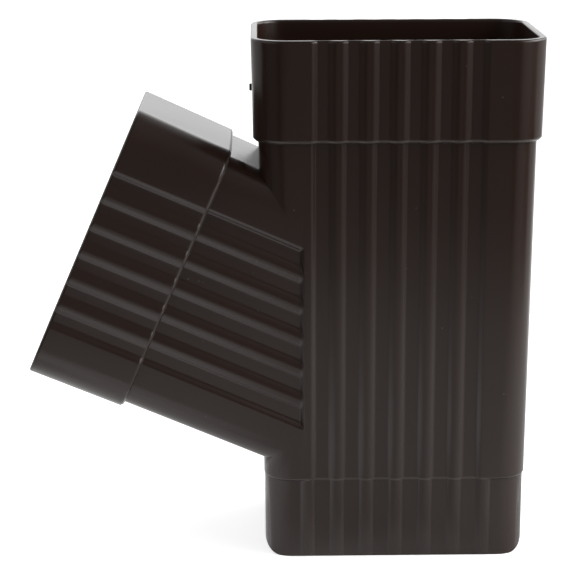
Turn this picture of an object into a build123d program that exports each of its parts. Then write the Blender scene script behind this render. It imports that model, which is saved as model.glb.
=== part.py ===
"""Three-way connector that leads a slanting side pipe into a vertical rectangular downspout.

One moulding: a fluted rectangular tube with a socket at its top, a spigot at its foot, and a branch that
rises to the left and ends in a second socket. The origin is on the main tube's axis at the spigot's end,
+Z runs up that axis, the branch leans towards -X, and the broad fluted faces look along -Y and +Y.
"""
import os
from math import cos, radians, sin, tan

from build123d import *

# Lengths are in millimetres and angles in degrees

# Downspout pipe that both sockets take, measured outside
PIPE_WIDTH = 76.0
PIPE_DEPTH = 49.6
PIPE_CORNER_RADIUS = 7.8
PIPE_CLEARANCE = 0.3

# Moulded wall, and the broken edges of its rims and of its shoulders
WALL = 1.8
RIM_BREAK = 0.3
SHOULDER_BREAK = 0.65

# Sockets, which narrow from the mouth to the shoulder
SOCKET_LENGTH = 28.0
SOCKET_DRAFT = 0.95
MOUTH_LEAD_IN = 0.3
MOUTH_LEAD_ANGLE = 45.0
STOP_LEDGE = 2.0

# Body tube below a socket: all round it stands in from the shoulder, and its narrow sides taper
SHOULDER_STEP = 1.45
BODY_DRAFT = 0.6

# Branch: its slope, and where its upper and lower sides meet the left side of the main body
BRANCH_RISE = 23.75
BRANCH_NECK = 8.6
BRANCH_HEAD_GAP = 8.1
BRANCH_FOOT_GAP = 5.3

# Spigot, stepped in from the foot of the body
SPIGOT_LENGTH = 23.1
SPIGOT_SIDE_STEP = 0.22
SPIGOT_FACE_STEP = 1.4
SPIGOT_END_RADIUS = 4.2
THROAT_SLOPE = 30.0

# Flutes on the broad faces: flat floors that curve up into rounded lands; widths are at the steepest lines
FLUTE_PITCH = 8.31
FLUTE_DEPTH = 1.0
FLUTE_MARGIN = 2.0
FLUTE_ROOT = 0.8
CREST_DROP = 0.1
SOCKET_FLUTE_WIDTH = 3.8
BODY_FLUTE_WIDTH = 4.45
FLUTE_END_GAP = 0.8
FLUTE_END_RUN = 1.1

# Ribs that carry the lands on down the spigot
RIB_WIDTH = 3.45
RIB_HEIGHT = 0.85
RIB_SINK = 0.06
RIB_LEAD_IN = 1.6

# Stub left by the moulding gate on the left side of the top socket
GATE_RADIUS = 1.0
GATE_STAND = 0.8
GATE_DROP = 16.0

# Reach of a cutter past the face that it cuts, and how near two heights are to count as one
CUT_MARGIN = 2.0
SAME_HEIGHT = 1e-4

# Socket and body sections, worked out from the pipe
socket_lean = tan(radians(SOCKET_DRAFT))
body_lean = tan(radians(BODY_DRAFT))
recess_width = PIPE_WIDTH + 2 * PIPE_CLEARANCE
recess_depth = PIPE_DEPTH + 2 * PIPE_CLEARANCE
recess_corner = PIPE_CORNER_RADIUS + PIPE_CLEARANCE
socket_width = recess_width + 2 * WALL
socket_depth = recess_depth + 2 * WALL
socket_corner = recess_corner + WALL
shoulder_inset = SOCKET_LENGTH * socket_lean + SHOULDER_STEP
body_width = socket_width - 2 * shoulder_inset
body_depth = socket_depth - 2 * shoulder_inset
body_corner = socket_corner - shoulder_inset

# Branch directions: outwards along its axis, and across it towards the top
rise = radians(BRANCH_RISE)
branch_axis = Vector(-cos(rise), 0, sin(rise))
branch_up = Vector(sin(rise), 0, cos(rise))

# Heights below the top shoulder: the upper side of the branch places its mouth, its lower side the foot
head_half_width = body_width / 2 - BRANCH_HEAD_GAP * body_lean
crotch = Vector(-head_half_width, 0, -BRANCH_HEAD_GAP)
neck_half_width = body_width / 2 - BRANCH_NECK * body_lean
branch_mouth = crotch + branch_axis * (SOCKET_LENGTH + BRANCH_NECK) - branch_up * neck_half_width
branch_heel = branch_mouth - branch_axis * SOCKET_LENGTH - branch_up * (body_width / 2)
lower_side = branch_up * body_lean - branch_axis
heel_reach = body_width / 2 + branch_heel.X + branch_heel.Z * body_lean
heel_run = -heel_reach / (lower_side.X + lower_side.Z * body_lean)
foot = branch_heel + lower_side * heel_run
body_length = BRANCH_FOOT_GAP - foot.Z

# Heights above the spigot's end
shoulder_height = SPIGOT_LENGTH + body_length
total_height = shoulder_height + SOCKET_LENGTH

# Spigot section
body_foot_width = body_width - 2 * body_length * body_lean
spigot_width = body_foot_width - 2 * SPIGOT_SIDE_STEP
spigot_depth = body_depth - 2 * SPIGOT_FACE_STEP
spigot_corner = body_corner - SPIGOT_SIDE_STEP

# Flutes that fit on the narrowest flat, and the upright plane where those of the branch stop
spigot_flat = spigot_width - 2 * spigot_corner - 2 * FLUTE_MARGIN
flute_count = int(spigot_flat / FLUTE_PITCH)
flute_half_span = flute_count * FLUTE_PITCH / 2
flute_stop = flute_half_span + FLUTE_END_GAP

# Frames at the two mouths, with z pointing out of the socket and y along the part's own y
main_frame = Location((0, 0, total_height))
branch_frame = Plane(
    origin=branch_mouth + Vector(0, 0, shoulder_height), x_dir=branch_up, z_dir=branch_axis
).location
branch_length = heel_run + body_width


def bar(width, depth, corner, head, foot_drop):
    """Upright bar with flat broad faces and tapered narrow sides, rounded along its four long edges.

    Its width is given at the shoulder; it runs from the height head above the shoulder to foot_drop below.
    """
    head_half = width / 2 + head * body_lean
    foot_half = width / 2 - foot_drop * body_lean
    outline = Polyline(
        (-head_half, head), (head_half, head), (foot_half, -foot_drop), (-foot_half, -foot_drop), close=True
    )
    block = extrude(Plane.XZ * make_face(outline), amount=depth / 2, both=True)
    long_edges = [edge for edge in block.edges() if abs((edge @ 1 - edge @ 0).Z) > (head + foot_drop) / 2]
    return Pos(0, 0, -SOCKET_LENGTH) * fillet(long_edges, corner)


def swept_side(crest, half_land, way, floor):
    """Side of a land: an arc from the crest down to the steepest line, and a reversed arc on to the floor.

    The arcs meet without a kink, and the floor lies at the given height.
    """
    root = Vector(crest.X + way * (half_land + FLUTE_ROOT), floor)
    steepest = crest + (root - crest) * (half_land / (half_land + FLUTE_ROOT))
    return [TangentArc(crest, steepest, tangent=(way, 0)), TangentArc(root, steepest, tangent=(-way, 0))]


def flute_profile(flute_width):
    """Section of the flutes of one face, to be cut away: x across the face, y out of it.

    The lands between the flutes are rounded. Half lands at both ends run out into the plain face.
    """
    half_land = (FLUTE_PITCH - flute_width) / 2
    half_floor = flute_width / 2 - FLUTE_ROOT
    lines = [
        Polyline(
            (-flute_half_span, CREST_DROP),
            (-flute_half_span, CUT_MARGIN),
            (flute_half_span, CUT_MARGIN),
            (flute_half_span, CREST_DROP),
        )
    ]
    for index in range(flute_count):
        left = -flute_half_span + index * FLUTE_PITCH
        right = left + FLUTE_PITCH
        middle = (left + right) / 2
        left_crest = CREST_DROP if index == 0 else -CREST_DROP
        right_crest = CREST_DROP if index == flute_count - 1 else -CREST_DROP
        lines += swept_side(Vector(left, left_crest), half_land, 1, -FLUTE_DEPTH)
        lines += swept_side(Vector(right, right_crest), half_land, -1, -FLUTE_DEPTH)
        lines.append(Line((middle - half_floor, -FLUTE_DEPTH), (middle + half_floor, -FLUTE_DEPTH)))
    return make_face(Curve() + lines)


def along_face(section, side, path):
    """Solid with one level section that follows a broad face down; side is -1 in front, +1 behind.

    The path lists heights, from the top, with the distance of the face from the middle of the depth.
    """
    solid = Part()
    for (top, top_reach), (low, low_reach) in zip(path, path[1:]):
        start = Pos(0, side * top_reach, top) * Rot(0, 0, 90 - 90 * side) * section
        run = Vector(0, side * (low_reach - top_reach), low - top)
        solid += extrude(start, amount=run.length, dir=run)
    return solid


def broken_at(solid, height, leg):
    """The solid with its outer edges at one height broken by a chamfer of the given leg."""
    def lies_level(edge):
        return all(abs((edge @ t).Z - height) < SAME_HEIGHT for t in (0, 0.5, 1))

    return chamfer(solid.edges().filter_by(lies_level), leg)


def fluted_socket():
    """Solid form of a socket in its mouth's frame, fluted in front and behind, with broken rims."""
    form = extrude(
        RectangleRounded(socket_width, socket_depth, socket_corner), amount=-SOCKET_LENGTH, taper=SOCKET_DRAFT
    )
    form = broken_at(broken_at(form, -SOCKET_LENGTH, SHOULDER_BREAK), 0, RIM_BREAK)
    face = socket_depth / 2
    low_face = face - (SOCKET_LENGTH - SHOULDER_BREAK) * socket_lean
    path = [
        (CUT_MARGIN, face - RIM_BREAK - CUT_MARGIN),
        (-RIM_BREAK, face - RIM_BREAK * socket_lean),
        (SHOULDER_BREAK - SOCKET_LENGTH, low_face),
        (-SOCKET_LENGTH - CUT_MARGIN, low_face - SHOULDER_BREAK - CUT_MARGIN),
    ]
    for side in (-1, 1):
        form -= along_face(flute_profile(SOCKET_FLUTE_WIDTH), side, path)
    return form


def socket_recess():
    """Hollow of a socket in its mouth's frame, with a small lead-in at the mouth."""
    hollow = extrude(
        RectangleRounded(recess_width, recess_depth, recess_corner),
        amount=STOP_LEDGE - SOCKET_LENGTH,
        taper=SOCKET_DRAFT,
    )
    flare = RectangleRounded(
        recess_width + 2 * MOUTH_LEAD_IN, recess_depth + 2 * MOUTH_LEAD_IN, recess_corner + MOUTH_LEAD_IN
    )
    return hollow + extrude(flare, amount=-2 * MOUTH_LEAD_IN, taper=MOUTH_LEAD_ANGLE)


def body_bore(foot_drop):
    """Hollow of a body tube in its mouth's frame, from the stop ledge to foot_drop below the shoulder."""
    head = STOP_LEDGE + CUT_MARGIN
    return bar(body_width - 2 * WALL, body_depth - 2 * WALL, body_corner - WALL, head, foot_drop)


def body_flutes(side, path):
    """Flute cutter for one broad face of a body tube in its mouth's frame, down from the stop ledge."""
    head = [(STOP_LEDGE - SOCKET_LENGTH, body_depth / 2)]
    return along_face(flute_profile(BODY_FLUTE_WIDTH), side, head + path)


def main_body():
    """Solid form of the fluted main body in place, with a broken edge at its foot."""
    foot_height = -SOCKET_LENGTH - body_length
    form = bar(body_width, body_depth, body_corner, STOP_LEDGE / 2, body_length)
    form = broken_at(form, foot_height, SHOULDER_BREAK)
    path = [
        (foot_height + SHOULDER_BREAK, body_depth / 2),
        (foot_height - CUT_MARGIN, body_depth / 2 - SHOULDER_BREAK - CUT_MARGIN),
    ]
    for side in (-1, 1):
        form -= body_flutes(side, path)
    return main_frame * form


def left_of_stop(form):
    """The part of a form that lies left of the plane where the branch's flutes stop."""
    return split(form, bisect_by=Plane(origin=(-flute_stop, 0, 0), z_dir=(-1, 0, 0)), keep=Keep.TOP)


def branch_flutes(side):
    """Flute cutter for one broad face of the branch in place, ended by a ramp at the stop plane."""
    cutter = branch_frame * body_flutes(side, [(-SOCKET_LENGTH - branch_length, body_depth / 2)])
    slope = (-FLUTE_DEPTH, side * FLUTE_END_RUN, 0)
    ramp = Plane(origin=(-flute_stop, side * body_depth / 2, 0), z_dir=slope)
    return split(cutter, bisect_by=ramp, keep=Keep.TOP)


def spigot_ribs(side):
    """Row of ribs on one broad face of the spigot, ramped down to the flat at the lower end."""
    half_foot = RIB_WIDTH / 2 + FLUTE_ROOT
    crest = Vector(0, RIB_HEIGHT)
    base = -WALL / 2
    lines = [Polyline((-half_foot, -RIB_SINK), (-half_foot, base), (half_foot, base), (half_foot, -RIB_SINK))]
    for way in (-1, 1):
        lines += swept_side(crest, RIB_WIDTH / 2, way, -RIB_SINK)
    path = [(SPIGOT_LENGTH + SHOULDER_BREAK, spigot_depth / 2), (0, spigot_depth / 2)]
    rib = along_face(make_face(Curve() + lines), side, path)
    ramp = Plane(origin=(0, side * spigot_depth / 2, 0), z_dir=(0, -side * RIB_LEAD_IN, RIB_HEIGHT))
    rib = split(rib, bisect_by=ramp, keep=Keep.TOP)
    return [Pos(-flute_half_span + index * FLUTE_PITCH, 0, 0) * rib for index in range(flute_count + 1)]


def spigot_bore_section():
    """Inside section of the spigot, one wall in from its flats."""
    return RectangleRounded(spigot_width - 2 * WALL, spigot_depth - 2 * WALL, spigot_corner - WALL)


def spigot():
    """Solid form of the ribbed spigot, its narrow sides rounded off towards the end."""
    height = SPIGOT_LENGTH + WALL
    form = extrude(RectangleRounded(spigot_width, spigot_depth, spigot_corner), amount=height)
    side_view = Pos(0, height, 0) * RectangleRounded(spigot_width, 2 * height, SPIGOT_END_RADIUS)
    form &= extrude(Plane.XZ * side_view, amount=spigot_depth, both=True)
    for side in (-1, 1):
        for rib in spigot_ribs(side):
            form += rib
    return form


def spigot_bore():
    """Hollow of the spigot and of the floor of the body above it."""
    return Pos(0, 0, -CUT_MARGIN) * extrude(spigot_bore_section(), amount=SPIGOT_LENGTH + WALL + CUT_MARGIN)


def main_bore():
    """Hollow of the main body, drawn in to the spigot's bore by a sloping throat at its foot."""
    throat = extrude(spigot_bore_section(), amount=total_height, taper=-THROAT_SLOPE)
    return main_frame * body_bore(body_length) & Pos(0, 0, SPIGOT_LENGTH + WALL) * throat


def gate_stub():
    """Low stub on the left side of the top socket, set into the wall."""
    reach = GATE_STAND + WALL / 2
    face = -socket_width / 2 + GATE_DROP * socket_lean
    stub = Rot(0, 90, 0) * Cylinder(GATE_RADIUS, reach, align=(Align.CENTER, Align.CENTER, Align.MIN))
    return Pos(face - GATE_STAND, 0, total_height - GATE_DROP) * stub


def connector():
    """The whole moulding: outer forms joined, branch flutes cut, then the bores and sockets hollowed."""
    branch_bar = branch_frame * bar(body_width, body_depth, body_corner, STOP_LEDGE / 2, branch_length)
    moulding = main_body() + left_of_stop(branch_bar)
    for side in (-1, 1):
        moulding -= branch_flutes(side)
    socket = fluted_socket()
    moulding += main_frame * socket
    moulding += branch_frame * socket
    moulding += spigot()
    moulding += gate_stub()
    moulding -= spigot_bore()
    moulding -= main_bore()
    moulding -= left_of_stop(branch_frame * body_bore(branch_length))
    recess = socket_recess()
    moulding -= main_frame * recess
    moulding -= branch_frame * recess
    return moulding


os.makedirs("parts", exist_ok=True)
part = connector()
part.label = "connector_body"
export_step(part, "parts/connector_body.step")
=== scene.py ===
"""Dark brown vinyl downspout connector, dressed and lit on a pale studio floor.

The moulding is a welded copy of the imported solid, with softened edges and a procedural vinyl finish. Lengths
are in metres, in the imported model's own frame: +Z runs up the main tube, the branch leans towards -X, and the
broad fluted faces look along -Y and +Y.
"""

import logging
import math
from dataclasses import dataclass
from enum import Enum
from typing import Any, Optional, Union

import bmesh
import bpy
import numpy as np
from mathutils import Matrix, Vector


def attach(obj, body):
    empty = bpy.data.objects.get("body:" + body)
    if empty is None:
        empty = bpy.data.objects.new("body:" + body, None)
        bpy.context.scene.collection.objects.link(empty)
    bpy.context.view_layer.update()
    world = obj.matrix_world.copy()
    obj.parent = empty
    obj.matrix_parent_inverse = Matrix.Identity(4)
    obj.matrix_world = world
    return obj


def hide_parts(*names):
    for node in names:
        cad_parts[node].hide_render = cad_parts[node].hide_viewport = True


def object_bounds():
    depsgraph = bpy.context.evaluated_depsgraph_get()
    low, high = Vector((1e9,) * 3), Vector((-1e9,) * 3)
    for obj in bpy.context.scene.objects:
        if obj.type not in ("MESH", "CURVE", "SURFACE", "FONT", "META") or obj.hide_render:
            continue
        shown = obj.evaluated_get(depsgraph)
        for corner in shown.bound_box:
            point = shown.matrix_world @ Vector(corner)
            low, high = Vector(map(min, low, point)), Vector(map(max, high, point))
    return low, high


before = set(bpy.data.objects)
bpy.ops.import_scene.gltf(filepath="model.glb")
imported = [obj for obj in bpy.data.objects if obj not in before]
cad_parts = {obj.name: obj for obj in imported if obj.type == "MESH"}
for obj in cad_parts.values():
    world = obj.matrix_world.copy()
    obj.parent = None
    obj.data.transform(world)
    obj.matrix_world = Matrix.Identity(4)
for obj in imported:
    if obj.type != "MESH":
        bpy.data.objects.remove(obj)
bpy.context.view_layer.update()
CAD_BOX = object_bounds()

IMAGE_SIDE = 576

log = logging.getLogger("connector")

Number = Union["Socket", float]
Colour = tuple[float, float, float]
Point = tuple[float, float, float]
Span = tuple[float, float]

UP: Point = (0.0, 0.0, 1.0)


class RayKind(Enum):
    """Kinds of ray that the floor and the surroundings tell apart, by their Light Path output."""

    CAMERA = "Is Camera Ray"
    GLOSSY = "Is Glossy Ray"


class Fade(Enum):
    """Ways in which a value runs from one level to another."""

    EVEN = "LINEAR"
    SOFT = "SMOOTHSTEP"


class Side(Enum):
    """Sides of the plane that parts the branch from the main tube, as the sign of x beyond it."""

    BRANCH = -1.0
    BODY = 1.0


class Socket:
    """Output of a shader node; arithmetic on it adds Math nodes to its board."""

    def __init__(self, board: "Board", output: bpy.types.NodeSocket) -> None:
        """Wraps one output socket of a node on the board."""
        self.board = board
        self.output = output

    def math(self, operation: str, first: Number, second: Number) -> "Socket":
        """Adds one Math node.

        Args:
            operation: the node's operation, in Blender's own spelling.
            first: left operand.
            second: right operand.

        Returns:
            The node's result.
        """
        return self.board.add("ShaderNodeMath", {"operation": operation}, {0: first, 1: second})

    def __add__(self, other: Number) -> "Socket":
        """Sum."""
        return self.math("ADD", self, other)

    def __radd__(self, other: Number) -> "Socket":
        """Sum, with the socket on the right."""
        return self.math("ADD", other, self)

    def __sub__(self, other: Number) -> "Socket":
        """Difference."""
        return self.math("SUBTRACT", self, other)

    def __rsub__(self, other: Number) -> "Socket":
        """Difference, with the socket on the right."""
        return self.math("SUBTRACT", other, self)

    def __mul__(self, other: Number) -> "Socket":
        """Product."""
        return self.math("MULTIPLY", self, other)

    def __rmul__(self, other: Number) -> "Socket":
        """Product, with the socket on the right."""
        return self.math("MULTIPLY", other, self)

    def __abs__(self) -> "Socket":
        """Value without its sign."""
        return self.math("ABSOLUTE", self, 0.0)


class Board:
    """Node tree of one material or of the world, cleared and ready for new nodes."""

    def __init__(self, tree: bpy.types.NodeTree) -> None:
        """Takes over a tree and removes the nodes that it starts with."""
        self.tree = tree
        tree.nodes.clear()

    def add(
        self,
        kind: str,
        settings: Optional[dict[str, Any]] = None,
        sockets: Optional[dict[Any, Any]] = None,
        output: Any = 0,
    ) -> Socket:
        """Adds one node.

        Args:
            kind: the node's type.
            settings: its own properties, set first.
            sockets: values or links of its inputs, by name or number.
            output: which of its outputs is returned.

        Returns:
            The chosen output.
        """
        node = self.tree.nodes.new(kind)
        for name, value in (settings or {}).items():
            setattr(node, name, value)
        for key, value in (sockets or {}).items():
            if isinstance(value, Socket):
                self.tree.links.new(value.output, node.inputs[key])
            else:
                node.inputs[key].default_value = value
        return Socket(self, node.outputs[output] if len(node.outputs) else None)

    def ray(self, kind: RayKind) -> Socket:
        """Adds a factor that is 1 for one kind of ray and 0 for the others.

        Args:
            kind: the kind of ray that counts.

        Returns:
            The factor.
        """
        return self.add("ShaderNodeLightPath", output=kind.value)

    def measure(self, operation: str, first: Socket, second: Point) -> Socket:
        """Adds one Vector Math node that gives a number.

        Args:
            operation: the node's operation, in Blender's own spelling.
            first: left operand.
            second: right operand.

        Returns:
            The node's value.
        """
        inputs = {0: first, 1: second}
        return self.add("ShaderNodeVectorMath", {"operation": operation}, inputs, output="Value")

    def fade(self, value: Socket, span: Span, levels: Span, way: Fade = Fade.SOFT) -> Socket:
        """Adds a run from one level to another that stays level outside its span.

        Args:
            value: what the run follows.
            span: values at which it starts and ends.
            levels: levels at its start and at its end.
            way: how it runs in between.

        Returns:
            The level.
        """
        inputs = {
            "Value": value,
            "From Min": span[0],
            "From Max": span[1],
            "To Min": levels[0],
            "To Max": levels[1],
        }
        return self.add("ShaderNodeMapRange", {"interpolation_type": way.value}, inputs)

    def blend(self, share: Number, first: Union[Socket, Colour], second: Colour) -> Socket:
        """Adds a blend of two colours.

        Args:
            share: share of the second colour, from 0 to 1.
            first: colour at share 0.
            second: colour at share 1.

        Returns:
            The blended colour.
        """
        start = first if isinstance(first, Socket) else (*first, 1.0)
        inputs = {"Factor": share, 6: start, 7: (*second, 1.0)}
        return self.add("ShaderNodeMix", {"data_type": "RGBA"}, inputs, output=2)


@dataclass(frozen=True)
class HighlightEdge:
    """Shoulder with a painted highlight: a paler band of colour in place of the light that its rounded edge
    catches.

    Attributes:
        along: direction of its tube, of length 1.
        reach: distance of the edge from the origin in that direction.
        side: the side on which its tube lies.
    """

    along: Point
    reach: float
    side: Side


@dataclass(frozen=True)
class VinylFinish:
    """Semi-gloss brown vinyl as it leaves the mould.

    It has faint flow mottling, ripple, fine grain, a few specks of dust and painted highlights, paler bands
    along the shoulders.
    Scales are features per metre, and details are octaves of noise.
    """

    name: str = "brown_vinyl_moulded"
    base: Colour = (0.0240, 0.0113, 0.0073)
    pale: Colour = (0.0278, 0.0134, 0.0090)
    refraction: float = 1.5
    gloss: float = 0.24
    gloss_spread: float = 0.08
    mottle_scale: float = 38.0
    mottle_detail: float = 5.0
    mottle_middle: float = 0.5
    ripple_scale: float = 90.0
    ripple_height: float = 0.00002
    grain_scale: float = 2600.0
    grain_height: float = 0.000004
    fine_detail: float = 2.0
    dust: Colour = (0.10, 0.09, 0.085)
    speck_scale: float = 420.0
    speck_span: Span = (0.06, 0.10)
    speck_cover: float = 0.5
    speck_dulling: float = 0.3
    patch_scale: float = 140.0
    patch_detail: float = 1.0
    patch_span: Span = (0.68, 0.70)
    # Painted highlight: a paler colour in bands along the ring and shoulders, in place of the light their
    # rounded edges catch
    highlight_colour: Colour = (0.085, 0.070, 0.063)
    highlight_width: float = 0.0006
    highlight_strength: float = 0.75
    highlight_least: float = 0.4
    parting_x: float = -0.0415
    parting_blend: float = 0.0005

    def build(self, highlit: tuple[HighlightEdge, ...]) -> bpy.types.Material:
        """Makes the material.

        Args:
            highlit: the edges that get a painted highlight, a paler band.

        Returns:
            The vinyl material, on Object coordinates.
        """
        material = bpy.data.materials.new(self.name)
        material.use_nodes = True
        board = Board(material.node_tree)
        place = board.add("ShaderNodeTexCoord", output="Object")
        mottle = self.noise(board, place, self.mottle_scale, self.mottle_detail)
        ripple = self.noise(board, place, self.ripple_scale, self.fine_detail)
        grain = self.noise(board, place, self.grain_scale, self.fine_detail)
        speck = self.specks(board, place)
        # Painted highlight bands on the ring and the shoulders
        painted_highlight = self.highlight_bands(board, place, highlit) * (mottle + self.highlight_least) * self.highlight_strength
        body = board.blend(mottle, self.base, self.pale)
        colour = board.blend(speck * self.speck_cover, board.blend(painted_highlight, body, self.highlight_colour), self.dust)
        unevenness = (mottle - self.mottle_middle) * self.gloss_spread
        roughness = self.gloss + unevenness + speck * self.speck_dulling
        height = grain * self.grain_height + ripple * self.ripple_height
        normal = board.add("ShaderNodeBump", None, {"Strength": 1.0, "Distance": 1.0, "Height": height})
        surface = board.add(
            "ShaderNodeBsdfPrincipled",
            None,
            {"Base Color": colour, "Roughness": roughness, "IOR": self.refraction, "Normal": normal},
        )
        board.add("ShaderNodeOutputMaterial", None, {"Surface": surface})
        return material

    @staticmethod
    def noise(board: Board, place: Socket, scale: float, detail: float) -> Socket:
        """Adds a noise pattern.

        Args:
            board: the material's nodes.
            place: coordinates.
            scale: features per metre.
            detail: octaves.

        Returns:
            The pattern's value, from 0 to 1.
        """
        return board.add("ShaderNodeTexNoise", None, {"Vector": place, "Scale": scale, "Detail": detail})

    def highlight_bands(self, board: Board, place: Socket, highlit: tuple[HighlightEdge, ...]) -> Socket:
        """Adds the painted highlights on the edges, each a narrow band across its own tube.

        Args:
            board: the material's nodes.
            place: coordinates.
            highlit: the edges with painted highlights.

        Returns:
            A mask that is 1 in the middle of a painted highlight band.
        """
        beside = board.add("ShaderNodeSeparateXYZ", None, {"Vector": place}, output="X") - self.parting_x
        bands = []
        for edge in highlit:
            gap = abs(board.measure("DOT_PRODUCT", place, edge.along) - edge.reach)
            band = board.fade(gap, (0.0, self.highlight_width), (1.0, 0.0))
            on_tube = board.fade(beside * edge.side.value, (0.0, self.parting_blend), (0.0, 1.0))
            bands.append(band * on_tube)
        return sum(bands, 0.0)

    def specks(self, board: Board, place: Socket) -> Socket:
        """Adds sparse dust specks, in the few patches where there is dust.

        Args:
            board: the material's nodes.
            place: coordinates.

        Returns:
            A mask that is 1 on a speck.
        """
        cells = board.add(
            "ShaderNodeTexVoronoi",
            {"feature": "F1"},
            {"Vector": place, "Scale": self.speck_scale},
            output="Distance",
        )
        near = board.fade(cells, self.speck_span, (1.0, 0.0), Fade.EVEN)
        patch = self.noise(board, place, self.patch_scale, self.patch_detail)
        rare = board.fade(patch, self.patch_span, (0.0, 1.0), Fade.EVEN)
        return near * rare


@dataclass(frozen=True)
class Pool:
    """Round patch of the floor that is brighter where the vinyl mirrors it.

    Attributes:
        place: its middle, on the floor.
        full: radius within which it is fully bright.
        edge: radius at which it ends.
        level: its radiance.
    """

    place: Point
    full: float
    edge: float
    level: float


# Pools at the foot, under the branch, in front of the branch, to the left, to the right and behind
POOLS = (
    Pool((0.0, 0.0, 0.0), full=0.026, edge=0.045, level=0.38),
    Pool((-0.072, 0.005, 0.0), full=0.037, edge=0.085, level=0.60),
    Pool((-0.09, -0.10, 0.0), full=0.03, edge=0.065, level=0.50),
    Pool((-0.19, -0.05, 0.0), full=0.06, edge=0.14, level=0.20),
    Pool((0.13, -0.05, 0.0), full=0.06, edge=0.14, level=0.16),
    Pool((-0.03, 0.55, 0.0), full=0.42, edge=0.54, level=0.60),
)


@dataclass(frozen=True)
class FloorFinish:
    """Matt white studio paper that the camera sees as white, with the object's shadow kept, and painted pools
    of light that only reflections see.
    """

    name: str = "studio_paper"
    paper: Colour = (0.86, 0.86, 0.86)
    glow: float = 0.75

    def build(self) -> bpy.types.Material:
        """Makes the material.

        Returns:
            The paper material.
        """
        material = bpy.data.materials.new(self.name)
        material.use_nodes = True
        board = Board(material.node_tree)
        paper = board.add("ShaderNodeBsdfDiffuse", None, {"Color": (*self.paper, 1.0)})
        place = board.add("ShaderNodeTexCoord", output="Object")
        pools = sum((self.shine(board, place, pool) for pool in POOLS), 0.0)
        # Painted pools of light: a glow that only glossy rays see
        strength = board.ray(RayKind.CAMERA) * self.glow + board.ray(RayKind.GLOSSY) * pools
        white = board.add("ShaderNodeEmission", None, {"Strength": strength})
        surface = board.add("ShaderNodeAddShader", None, {0: paper, 1: white})
        board.add("ShaderNodeOutputMaterial", None, {"Surface": surface})
        return material

    @staticmethod
    def shine(board: Board, place: Socket, pool: Pool) -> Socket:
        """Adds the brightness of one pool.

        Args:
            board: the material's nodes.
            place: coordinates.
            pool: the bright patch.

        Returns:
            Its radiance at that place.
        """
        distance = board.measure("DISTANCE", place, pool.place)
        return board.fade(distance, (pool.full, pool.edge), (pool.level, 0.0))


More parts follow.
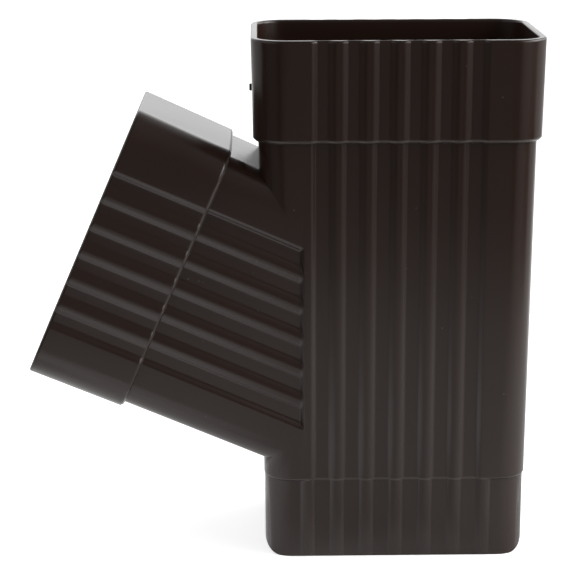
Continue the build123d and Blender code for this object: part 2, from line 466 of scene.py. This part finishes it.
@dataclass
class Moulding:
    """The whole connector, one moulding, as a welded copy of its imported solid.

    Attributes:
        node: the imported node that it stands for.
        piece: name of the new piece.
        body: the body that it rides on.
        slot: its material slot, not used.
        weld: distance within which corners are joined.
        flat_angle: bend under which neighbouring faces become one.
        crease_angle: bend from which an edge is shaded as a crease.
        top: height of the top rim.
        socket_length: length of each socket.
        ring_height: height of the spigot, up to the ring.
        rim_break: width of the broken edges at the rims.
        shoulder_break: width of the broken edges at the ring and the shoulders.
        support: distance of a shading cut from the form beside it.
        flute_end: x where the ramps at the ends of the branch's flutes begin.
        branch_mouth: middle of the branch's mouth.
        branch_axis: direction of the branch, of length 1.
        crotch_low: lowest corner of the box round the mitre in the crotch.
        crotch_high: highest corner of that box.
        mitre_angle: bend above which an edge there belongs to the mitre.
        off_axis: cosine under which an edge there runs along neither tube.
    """

    node: str = "connector_body"
    piece: str = "connector_moulding"
    body: str = "root"
    slot: str = "brown_vinyl"
    weld: float = 0.000002
    flat_angle: float = math.radians(0.3)
    crease_angle: float = math.radians(62.0)
    top: float = CAD_BOX[1][2]
    socket_length: float = 0.028
    ring_height: float = 0.0231
    rim_break: float = 0.0003
    shoulder_break: float = 0.00065
    support: float = 0.0005
    flute_end: float = -0.0268
    branch_mouth: Point = (-0.086944, 0.0, 0.091503)
    branch_axis: Point = (-0.915311, 0.0, 0.402747)
    crotch_low: Point = (-0.0410, -0.03, 0.086)
    crotch_high: Point = (-0.0285, 0.03, 0.1135)
    mitre_angle: float = math.radians(4.0)
    off_axis: float = 0.985

    def build(self, finish: bpy.types.Material) -> bpy.types.Object:
        """Makes the piece and puts it in the frame.

        Args:
            finish: material of the moulding.

        Returns:
            The new object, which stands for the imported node.
        """
        mesh = self.welded_mesh()
        mesh.materials.clear()
        mesh.materials.append(finish)
        piece = bpy.data.objects.new(self.piece, mesh)
        bpy.context.scene.collection.objects.link(piece)
        soften = piece.modifiers.new("softened_edges", "WEIGHTED_NORMAL")
        soften.keep_sharp = True
        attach(piece, self.body)
        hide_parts(self.node)
        return piece

    def highlight_edges(self) -> tuple[HighlightEdge, ...]:
        """Finds the edges that get a painted highlight, each in the middle of its broken edge.

        Returns:
            The ring, the top shoulder and the branch's shoulder.
        """
        # These edges carry painted highlight bands, not real wear
        middle = self.shoulder_break / 2
        shoulder_drop = self.socket_length - middle
        mouth_reach = Vector(self.branch_mouth).dot(Vector(self.branch_axis))
        return (
            HighlightEdge(UP, self.ring_height + middle, Side.BODY),
            HighlightEdge(UP, self.top - shoulder_drop, Side.BODY),
            HighlightEdge(self.branch_axis, mouth_reach - shoulder_drop, Side.BRANCH),
        )

    def welded_mesh(self) -> bpy.types.Mesh:
        """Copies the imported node's mesh, joins its loose triangles and marks its hard edges.

        Returns:
            A closed mesh with smooth faces, flat regions as single faces, and creases marked sharp.
        """
        work = bmesh.new()
        work.from_mesh(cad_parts[self.node].data)
        bmesh.ops.remove_doubles(work, verts=work.verts, dist=self.weld)
        bmesh.ops.dissolve_limit(work, angle_limit=self.flat_angle, verts=work.verts, edges=work.edges)
        self.add_supports(work)
        for face in work.faces:
            face.smooth = True
        for edge in work.edges:
            edge.smooth = edge.calc_face_angle(math.pi) < self.crease_angle and not self.is_mitre(edge)
        mesh = bpy.data.meshes.new(self.piece)
        work.to_mesh(mesh)
        work.free()
        return mesh

    def add_supports(self, work: bmesh.types.BMesh) -> None:
        """Cuts faces beside broken edges and flute ends, so that the shading bends only close to them.

        Args:
            work: the mesh, whose shape stays as it is.
        """
        up = Vector(UP)
        out = Vector(self.branch_axis)
        aside = Vector((1.0, 0.0, 0.0))
        head = up * self.top
        mouth = Vector(self.branch_mouth)
        below_rim = self.rim_break + self.support
        above_shoulder = self.socket_length - self.shoulder_break - self.support
        cuts = [
            (up * (self.ring_height + self.shoulder_break + self.support), up),
            (aside * (self.flute_end - self.support), aside),
        ]
        for drop in (below_rim, above_shoulder):
            cuts.append((head - up * drop, up))
            cuts.append((mouth - out * drop, out))
        for place, normal in cuts:
            everything = work.verts[:] + work.edges[:] + work.faces[:]
            bmesh.ops.bisect_plane(work, geom=everything, dist=self.weld, plane_co=place, plane_no=normal)

    def is_mitre(self, edge: bmesh.types.BMEdge) -> bool:
        """Tells whether an edge belongs to the crease where the rounded branch meets the rounded body.

        Args:
            edge: an edge of the mesh.

        Returns:
            True in the crotch for an edge that runs along neither tube.
        """
        first, second = (vertex.co for vertex in edge.verts)
        middle = (first + second) / 2
        if not all(low < at < high for low, at, high in zip(self.crotch_low, middle, self.crotch_high)):
            return False
        run = (second - first).normalized()
        along = max(abs(run.z), abs(run.dot(Vector(self.branch_axis))))
        return along < self.off_axis and edge.calc_face_angle(0.0) > self.mitre_angle


@dataclass(frozen=True)
class Glow:
    """Soft bright patch of the studio's surroundings.

    Attributes:
        toward: direction of its middle, of length 1.
        edge: cosine of the angle from the middle at which it begins.
        full: cosine of the angle from the middle within which it is fully bright.
        level: its radiance.
    """

    toward: Point
    edge: float
    full: float
    level: float


@dataclass(frozen=True)
class Softbox:
    """Square soft lamp that looks at one point."""

    name: str
    place: Point
    aim: Point
    side: float
    power: float

    def build(self) -> bpy.types.Object:
        """Makes the lamp.

        Returns:
            The lamp object.
        """
        data = bpy.data.lights.new(self.name, "AREA")
        data.shape = "SQUARE"
        data.size = self.side
        data.energy = self.power
        lamp = bpy.data.objects.new(self.name, data)
        lamp.location = self.place
        lamp.rotation_mode = "QUATERNION"
        lamp.rotation_quaternion = (Vector(self.aim) - Vector(self.place)).to_track_quat("-Z", "Y")
        bpy.context.scene.collection.objects.link(lamp)
        return lamp


AMBIENT = 0.164
# Glows above the horizon: a broad and a narrow one behind, then left and right
GLOWS = (
    Glow((0.0, 1.0, 0.0), edge=0.20, full=0.70, level=0.38),
    Glow((0.0, 1.0, 0.0), edge=0.80, full=0.95, level=1.08),
    Glow((-1.0, 0.0, 0.0), edge=0.45, full=0.80, level=0.47),
    Glow((1.0, 0.0, 0.0), edge=0.45, full=0.80, level=2.23),
)
# Glows below the horizon, past the table's edge: in front, then right and left of it
LOW_GLOWS = (
    Glow((0.0, -0.96, -0.28), edge=0.90, full=0.98, level=0.16),
    Glow((0.77, -0.60, -0.20), edge=0.90, full=0.98, level=0.27),
    Glow((-0.77, -0.60, -0.20), edge=0.90, full=0.98, level=0.10),
)
RIGHT_SOFTBOX = Softbox(
    "right_softbox",
    place=(0.24, -0.03, 0.22),
    aim=(0.16, -0.04, 0.0),
    side=0.16,
    power=0.34,
)


@dataclass
class Studio:
    """White table that ends in a half disc in front of the object, inside soft surroundings.

    Attributes:
        table_front: radius of the half disc.
        table_back: distance of the table's back edge.
        table_side: distance of its left and right edges.
        arc_steps: points on the half circle.
        depth_steps: points from front to back.
        horizon: height of the soft horizon, as the sine of its angle above and below level.
    """

    table_front: float = 0.34
    table_back: float = 4.0
    table_side: float = 3.0
    arc_steps: int = 33
    depth_steps: int = 5
    horizon: float = 0.04

    def build(self) -> None:
        """Makes the table, the surroundings and the lamp."""
        self.make_table()
        self.make_world()
        RIGHT_SOFTBOX.build()

    def make_table(self) -> bpy.types.Object:
        """Makes the table top, a grid P(x, t) = (x, (1 - t) * front(x) + t * back, 0).

        The front edge is the half circle front(x) = -sqrt(r^2 - x^2) within the radius r, and 0 outside it.

        Returns:
            The table object.
        """
        arc = self.table_front * np.sin(np.linspace(-math.pi / 2, math.pi / 2, self.arc_steps))
        across = np.concatenate([[-self.table_side], arc, [self.table_side]])
        front = -np.sqrt(np.clip(self.table_front**2 - across**2, 0.0, None))
        share = np.linspace(0.0, 1.0, self.depth_steps)[:, None]
        along = (1.0 - share) * front + share * self.table_back
        grid = np.stack([np.broadcast_to(across, along.shape), along, np.zeros_like(along)], axis=-1)
        row = len(across)
        start = (np.arange(self.depth_steps - 1)[:, None] * row + np.arange(row - 1)).ravel()
        quads = np.stack([start, start + 1, start + row + 1, start + row], axis=-1)
        mesh = bpy.data.meshes.new("studio_table")
        mesh.from_pydata(grid.reshape(-1, 3).tolist(), [], quads.tolist())
        mesh.materials.append(FloorFinish().build())
        table = bpy.data.objects.new("studio_table", mesh)
        bpy.context.scene.collection.objects.link(table)
        return table

    def make_world(self) -> None:
        """Makes the surroundings, white for the camera and a soft set of glows for all other rays."""
        world = bpy.data.worlds.new("studio")
        bpy.context.scene.world = world
        world.use_nodes = True
        board = Board(world.node_tree)
        toward = board.add("ShaderNodeTexCoord", output="Generated")
        seen = board.ray(RayKind.CAMERA)
        sky = Glow(UP, edge=-self.horizon, full=self.horizon, level=1.0)
        high = sum((self.patch(board, toward, glow) for glow in GLOWS), AMBIENT)
        low = sum((self.patch(board, toward, glow) for glow in LOW_GLOWS), 0.0)
        around = self.patch(board, toward, sky) * high + low
        light = seen + (1.0 - seen) * around
        white = board.add("ShaderNodeBackground", None, {"Color": (1.0, 1.0, 1.0, 1.0), "Strength": light})
        board.add("ShaderNodeOutputWorld", None, {"Surface": white})

    @staticmethod
    def patch(board: Board, toward: Socket, glow: Glow) -> Socket:
        """Adds the brightness of one glow.

        Args:
            board: the world's nodes.
            toward: direction of the ray.
            glow: the bright patch.

        Returns:
            Its radiance in that direction.
        """
        nearness = board.measure("DOT_PRODUCT", toward, glow.toward)
        return board.fade(nearness, (glow.edge, glow.full), (0.0, glow.level))


@dataclass(frozen=True)
class PhotoCamera:
    """Camera of the photograph.

    Attributes:
        place: where it stands.
        yaw: turn to the right of +Y, in degrees.
        pitch: tilt downwards, in degrees.
        roll: turn about its own line of sight, in degrees.
        focal_pixels: focal length, in pixels of the photograph.
        sensor: width of the sensor, in millimetres.
    """

    place: Point = (-0.037541, -0.521922, 0.207241)
    yaw: float = 0.8342
    pitch: float = 14.3928
    roll: float = 0.2013
    focal_pixels: float = 1863.917
    sensor: float = 36.0

    def build(self) -> bpy.types.Object:
        """Makes the camera and gives it to the scene.

        Returns:
            The camera object.
        """
        yaw, pitch, roll = (math.radians(angle) for angle in (self.yaw, self.pitch, self.roll))
        level_ahead = Vector((math.sin(yaw), math.cos(yaw), 0.0))
        ahead = math.cos(pitch) * level_ahead - math.sin(pitch) * Vector(UP)
        level_right = Vector((math.cos(yaw), -math.sin(yaw), 0.0))
        level_up = level_right.cross(ahead)
        right = math.cos(roll) * level_right - math.sin(roll) * level_up
        up = math.sin(roll) * level_right + math.cos(roll) * level_up
        data = bpy.data.cameras.new("photo_camera")
        data.sensor_fit = "HORIZONTAL"
        data.sensor_width = self.sensor
        data.lens = self.focal_pixels * self.sensor / IMAGE_SIDE
        camera = bpy.data.objects.new("photo_camera", data)
        turn = Matrix((right, up, -ahead)).transposed().to_4x4()
        camera.matrix_world = Matrix.Translation(self.place) @ turn
        bpy.context.scene.collection.objects.link(camera)
        bpy.context.scene.camera = camera
        return camera


def main() -> None:
    """Builds the camera, the studio and the connector, in that order."""
    logging.basicConfig(level=logging.INFO)
    bpy.context.scene.view_settings.view_transform = "Standard"
    PhotoCamera().build()
    Studio().build()
    moulding = Moulding()
    piece = moulding.build(VinylFinish().build(moulding.highlight_edges()))
    log.info("%s: %d faces", piece.name, len(piece.data.polygons))
    bpy.context.view_layer.update()


if __name__ == "__main__":
    main()
